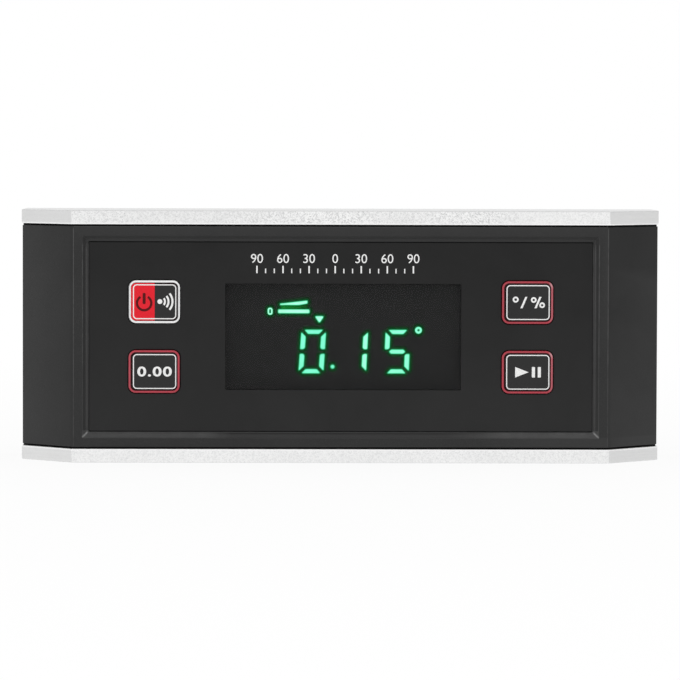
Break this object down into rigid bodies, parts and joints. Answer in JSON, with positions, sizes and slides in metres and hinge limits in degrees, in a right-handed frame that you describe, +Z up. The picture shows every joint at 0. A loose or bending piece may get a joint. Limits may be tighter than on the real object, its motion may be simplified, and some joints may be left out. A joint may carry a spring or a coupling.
{
  "type": "digital inclinometer",
  "caption": "Digital inclinometer: aluminium I-section frame with a grooved magnetic base, black shells, recessed display panel with keys, and a hinged battery door.",
  "frame": {"origin": "centre of the lower measuring face", "axes": "+X along the length, to the right seen from the front; +Y from the display to the back; +Z up"},
  "size_m": [0.153, 0.033, 0.06],
  "materials": {
    "frame": "bead-blasted and clear anodised",
    "magnet": "nickel plated",
    "shell": "fine texture",
    "panel": "satin",
    "smoked_window": "polished, smoked",
    "foam": "closed-cell foam",
    "display": "matte",
    "lit": "lit",
    "key": "satin",
    "white_rim": "glossy",
    "red_rim": "glossy",
    "plunger": "moulded",
    "board": "solder mask",
    "chip": "moulded",
    "ceramic": "ceramic",
    "plated": "nickel plated",
    "screw": "zinc plated",
    "insert": "turned",
    "cell": "printed wrap",
    "red_wire": "insulated",
    "black_wire": "insulated"
  },
  "bodies": {
    "instrument": {"frame": "frame", "magnets": "magnet", "front_housing": "shell", "rear_cover": "shell", "front_panel": "panel", "display_window": "smoked_window", "window_foam": "foam", "display_body": "display", "lit_segments": "lit", "main_board": "board", "sensor_board": "board", "switch_bases": "chip", "controller_chip": "chip", "buzzer": "chip", "tilt_sensor": "chip", "sensor_header": "chip", "capacitors": "ceramic", "display_pins": "plated", "crystal": "plated", "link_contact": "plated", "spring_contact": "plated", "button_contact": "plated", "battery_springs": "plated", "board_screws": "screw", "sensor_screws": "screw", "cover_screws": "screw", "thread_inserts": "insert", "battery_cells": "cell", "red_lead": "red_wire", "black_lead": "black_wire"},
    "power_key": {"power_key_cap": "key", "power_key_rim": "white_rim", "power_switch_plunger": "plunger"},
    "zero_key": {"zero_key_cap": "key", "zero_key_rim": "red_rim", "zero_switch_plunger": "plunger"},
    "mode_key": {"mode_key_cap": "key", "mode_key_rim": "red_rim", "mode_switch_plunger": "plunger"},
    "hold_key": {"hold_key_cap": "key", "hold_key_rim": "red_rim", "hold_switch_plunger": "plunger"},
    "battery_door": {"battery_door": "shell", "door_pad": "foam"}
  },
  "joints": [
    {"name": "power_press", "type": "slide", "parent": "instrument", "child": "power_key", "axis": [0, 1, 0], "range_m": [0, 0.0005], "stiffness_N_per_m": 600, "springref_m": -0.002},
    {"name": "zero_press", "type": "slide", "parent": "instrument", "child": "zero_key", "axis": [0, 1, 0], "range_m": [0, 0.0005], "stiffness_N_per_m": 600, "springref_m": -0.002},
    {"name": "mode_press", "type": "slide", "parent": "instrument", "child": "mode_key", "axis": [0, 1, 0], "range_m": [0, 0.0005], "stiffness_N_per_m": 600, "springref_m": -0.002},
    {"name": "hold_press", "type": "slide", "parent": "instrument", "child": "hold_key", "axis": [0, 1, 0], "range_m": [0, 0.0005], "stiffness_N_per_m": 600, "springref_m": -0.002},
    {"name": "door_hinge", "type": "hinge", "parent": "instrument", "child": "battery_door", "pos_m": [-0.0262, 0.01535, 0.03], "axis": [0, 0, 1], "range_deg": [0, 95]}
  ]
}
